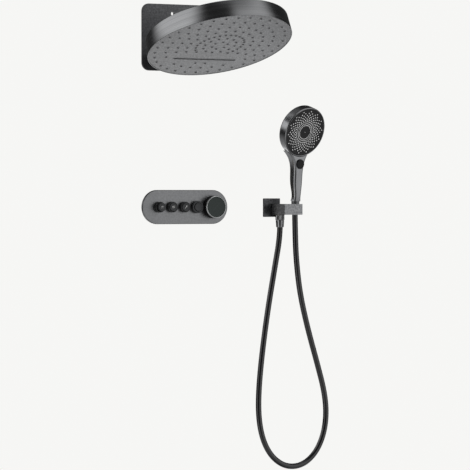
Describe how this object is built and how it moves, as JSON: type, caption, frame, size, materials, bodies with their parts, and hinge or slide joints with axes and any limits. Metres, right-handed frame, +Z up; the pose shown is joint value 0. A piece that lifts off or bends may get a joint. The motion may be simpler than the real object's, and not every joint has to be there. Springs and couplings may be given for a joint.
{
  "type": "concealed rain shower set",
  "caption": "Wall-held rain shower set in brushed gunmetal: tilting overhead disc, thermostatic push-button panel with round knob, and hand shower on a wall outlet with a black hose.",
  "frame": {"origin": "centre of the control panel's back face, on the plane of the finished wall", "axes": "+X right along the wall, -Y out of the wall into the room, +Z up"},
  "size_m": [0.5644, 0.4053, 1.143],
  "materials": {
    "gunmetal": "brushed gunmetal coating",
    "face_metal": "fine brushed grey",
    "dark_cap": "satin dark grey",
    "black_plastic": "satin black",
    "pale_silicone": "matt pale grey",
    "grey_silicone": "matt grey",
    "inner_plastic": "moulded",
    "brass": "machined",
    "steel": "plain",
    "dark_steel": "satin black coating",
    "seal_rubber": "matt",
    "hose_black": "smooth semi gloss"
  },
  "bodies": {
    "root": {"head_arm": "dark_steel", "head_inlet_nipple": "brass", "head_plate_seal": "seal_rubber", "head_wall_plate": "gunmetal", "holder_block": "gunmetal", "holder_grub_screw": "steel", "holder_inlet_nipple": "brass", "holder_liner": "inner_plastic", "holder_outlet_nipple": "brass", "holder_wall_plate": "gunmetal", "outlet_cartridges": "inner_plastic", "panel_plate": "gunmetal", "panel_seal": "seal_rubber", "shower_hose": "hose_black", "temperature_cartridge": "inner_plastic", "temperature_stop_ring": "black_plastic", "tilt_pin": "steel", "tilt_pin_rings": "steel", "valve_body": "brass", "valve_bracket": "steel", "valve_bracket_screws": "steel", "wall_hose_nut": "gunmetal", "wall_hose_washer": "seal_rubber"},
    "rain_head": {"head_bracket": "dark_steel", "head_bracket_screws": "steel", "head_shell": "gunmetal", "head_face_plate": "face_metal", "head_face_seal": "seal_rubber", "rain_nozzles": "grey_silicone", "waterfall_insert": "inner_plastic", "head_chamber_plate": "inner_plastic"},
    "flow_control_1": {"flow_ring_1": "gunmetal", "push_spring_1": "steel"},
    "push_button_1": {"push_cap_1": "dark_cap"},
    "flow_control_2": {"flow_ring_2": "gunmetal", "push_spring_2": "steel"},
    "push_button_2": {"push_cap_2": "dark_cap"},
    "flow_control_3": {"flow_ring_3": "gunmetal", "push_spring_3": "steel"},
    "push_button_3": {"push_cap_3": "dark_cap"},
    "flow_control_4": {"flow_ring_4": "gunmetal", "push_spring_4": "steel"},
    "push_button_4": {"push_cap_4": "dark_cap"},
    "temperature_control": {"temperature_knob": "gunmetal", "temperature_knob_cap": "dark_cap", "temperature_knob_screw": "steel", "temperature_spindle": "brass"},
    "stop_button": {"stop_button": "black_plastic"},
    "hose_end": {"handset_hose_nut": "gunmetal", "handset_hose_washer": "seal_rubber"},
    "handset": {"handset_shell": "gunmetal", "handset_rim": "gunmetal", "handset_face": "black_plastic", "handset_nozzles": "pale_silicone", "handset_waterway": "inner_plastic"},
    "mode_button": {"mode_button": "black_plastic"}
  },
  "joints": [
    {"name": "head_tilt", "type": "hinge", "parent": "root", "child": "rain_head", "pos_m": [-0.004, -0.0307, 0.38389], "axis": [-1, 0, 0], "range_deg": [-10, 8]},
    {"name": "flow_1", "type": "hinge", "parent": "root", "child": "flow_control_1", "pos_m": [-0.074, -0.007, 0], "axis": [0, -1, 0], "range_deg": [-45, 45]},
    {"name": "press_1", "type": "slide", "parent": "flow_control_1", "child": "push_button_1", "axis": [0, 1, 0], "range_m": [0, 0.007], "stiffness_N_per_m": 300, "springref_m": -0.003, "deforming": ["push_spring_1"]},
    {"name": "flow_2", "type": "hinge", "parent": "root", "child": "flow_control_2", "pos_m": [-0.0395, -0.007, 0], "axis": [0, -1, 0], "range_deg": [-45, 45]},
    {"name": "press_2", "type": "slide", "parent": "flow_control_2", "child": "push_button_2", "axis": [0, 1, 0], "range_m": [-0.007, 0], "deforming": ["push_spring_2"]},
    {"name": "flow_3", "type": "hinge", "parent": "root", "child": "flow_control_3", "pos_m": [-0.005, -0.007, 0], "axis": [0, -1, 0], "range_deg": [-45, 45]},
    {"name": "press_3", "type": "slide", "parent": "flow_control_3", "child": "push_button_3", "axis": [0, 1, 0], "range_m": [-0.007, 0], "deforming": ["push_spring_3"]},
    {"name": "flow_4", "type": "hinge", "parent": "root", "child": "flow_control_4", "pos_m": [0.0295, -0.007, 0], "axis": [0, -1, 0], "range_deg": [-45, 45]},
    {"name": "press_4", "type": "slide", "parent": "flow_control_4", "child": "push_button_4", "axis": [0, 1, 0], "range_m": [-0.007, 0], "deforming": ["push_spring_4"]},
    {"name": "temperature_turn", "type": "hinge", "parent": "root", "child": "temperature_control", "pos_m": [0.0755, -0.007, 0], "axis": [0, -1, 0], "range_deg": [-135, 135]},
    {"name": "stop_press", "type": "slide", "parent": "temperature_control", "child": "stop_button", "axis": [-1, 0, 0], "range_m": [0, 0.0015], "stiffness_N_per_m": 500, "springref_m": -0.002},
    {"name": "handset_lift", "type": "slide", "parent": "root", "child": "hose_end", "axis": [0, -0.0698, 0.9976], "range_m": [0, 0.06]},
    {"name": "handset_swivel", "type": "hinge", "parent": "hose_end", "child": "handset", "pos_m": [0.282, -0.056, 0.0072], "axis": [0, -0.0698, 0.9976], "continuous": true},
    {"name": "mode_press", "type": "slide", "parent": "handset", "child": "mode_button", "axis": [-0.1908, 0.9792, 0.0685], "range_m": [0, 0.002], "stiffness_N_per_m": 500, "springref_m": -0.002}
  ]
}
